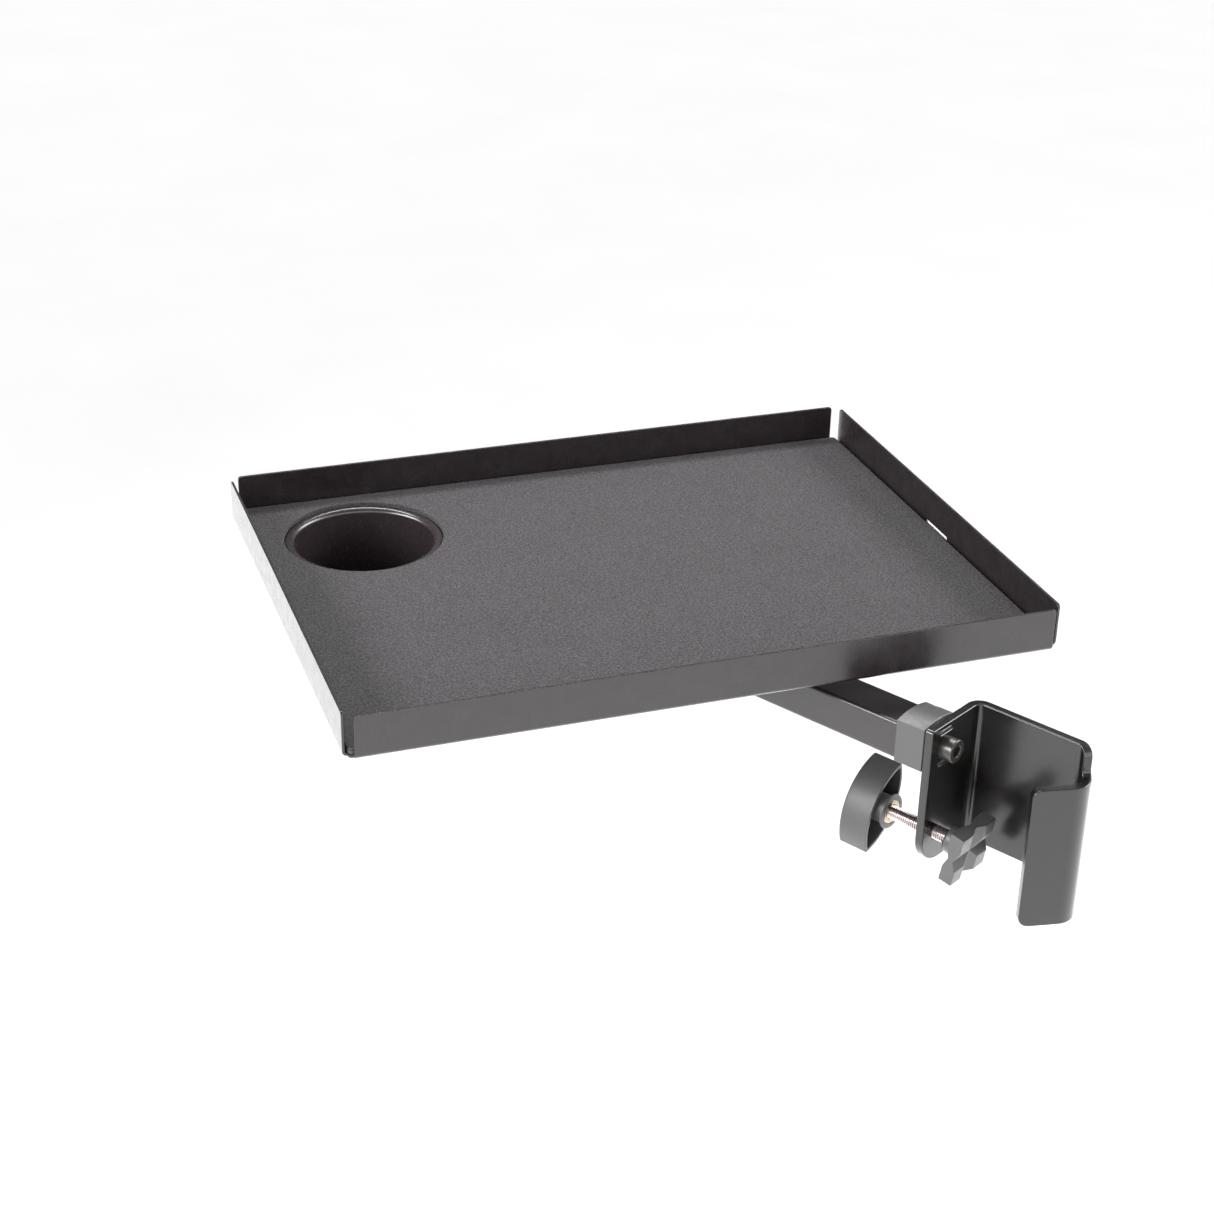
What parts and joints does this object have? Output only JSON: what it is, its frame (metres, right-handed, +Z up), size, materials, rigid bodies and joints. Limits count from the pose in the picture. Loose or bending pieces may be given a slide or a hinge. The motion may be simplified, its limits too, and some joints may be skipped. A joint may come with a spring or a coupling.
{
  "type": "clamp-on tray with cup holder",
  "caption": "Folded steel tray with an anti-slip mat and a lift-out cup well, on a swivelling arm whose hook and wing screw clamp it to an upright tube.",
  "frame": {"origin": "on the axis of the hook's inner fold, at mid height of the fold", "axes": "+X along the tray's long side, +Y from the tray's front to its back, +Z up, along the clamped tube"},
  "size_m": [0.4, 0.3995, 0.1316],
  "materials": {
    "powder_coat_tray": "satin",
    "mat_grain": "matte",
    "cup_plastic": "gloss",
    "powder_coat_arm": "satin",
    "powder_coat_hook": "satin",
    "collar_plastic": "matte",
    "knob_plastic": "matte",
    "pad_plastic": "matte",
    "cap_plastic": "matte",
    "nylon": "matte",
    "blue_nylon": "matte",
    "zinc": "satin",
    "yellow_zinc": "satin",
    "black_oxide": "satin",
    "raw_steel": "satin"
  },
  "bodies": {
    "mount_arm": {"arm_tube": "powder_coat_arm", "tube_cap": "cap_plastic", "pivot_bushes": "nylon", "arm_end_plug": "raw_steel", "arm_collar": "collar_plastic", "clamp_bracket": "powder_coat_hook", "clamp_bolt": "black_oxide"},
    "tray": {"tray_pan": "powder_coat_tray", "tray_mat": "mat_grain", "swivel_plate": "powder_coat_arm", "plate_studs": "zinc", "plate_nuts": "zinc", "pivot_bolt": "zinc", "friction_disc": "nylon", "thrust_washer": "zinc", "disc_springs": "black_oxide", "lock_nut": "zinc", "lock_ring": "blue_nylon"},
    "cup": {"cup_insert": "cup_plastic"},
    "screw_end": {"pad_washer": "zinc"},
    "screw": {"spindle": "zinc", "wing_knob": "knob_plastic", "knob_nut": "yellow_zinc", "pad_clip": "black_oxide"},
    "pad_bush": {"pad_ball": "nylon"},
    "pad": {"pressure_pad": "pad_plastic"}
  },
  "joints": [
    {"name": "tray_swivel", "type": "hinge", "parent": "mount_arm", "child": "tray", "pos_m": [-0.1586, 0.23705, 0.0565], "axis": [0, 0, 1], "range_deg": [-180, 130]},
    {"name": "cup_lift", "type": "slide", "parent": "tray", "child": "cup", "axis": [0, 0, 1], "range_m": [0, 0.08]},
    {"name": "spindle_travel", "type": "slide", "parent": "mount_arm", "child": "screw_end", "axis": [0.4879, -0.8729, 0], "range_m": [-0.006, 0.0196]},
    {"name": "spindle_turn", "type": "hinge", "parent": "screw_end", "child": "screw", "pos_m": [-0.06103, 0.06246, -0.0165], "axis": [0.4879, -0.8729, 0], "range_deg": [-1727, 5643.8]},
    {"name": "pad_spin", "type": "hinge", "parent": "screw_end", "child": "pad_bush", "pos_m": [-0.04347, 0.03104, -0.0165], "axis": [0.4879, -0.8729, 0], "continuous": true},
    {"name": "pad_tilt", "type": "hinge", "parent": "pad_bush", "child": "pad", "pos_m": [-0.04347, 0.03104, -0.0165], "axis": [0.8729, 0.4879, 0], "range_deg": [-24.4, 3.6]}
  ],
  "couplings": [
    {"joint": "spindle_travel", "follows": "spindle_turn", "m_per_rad": 0.00019894}
  ]
}
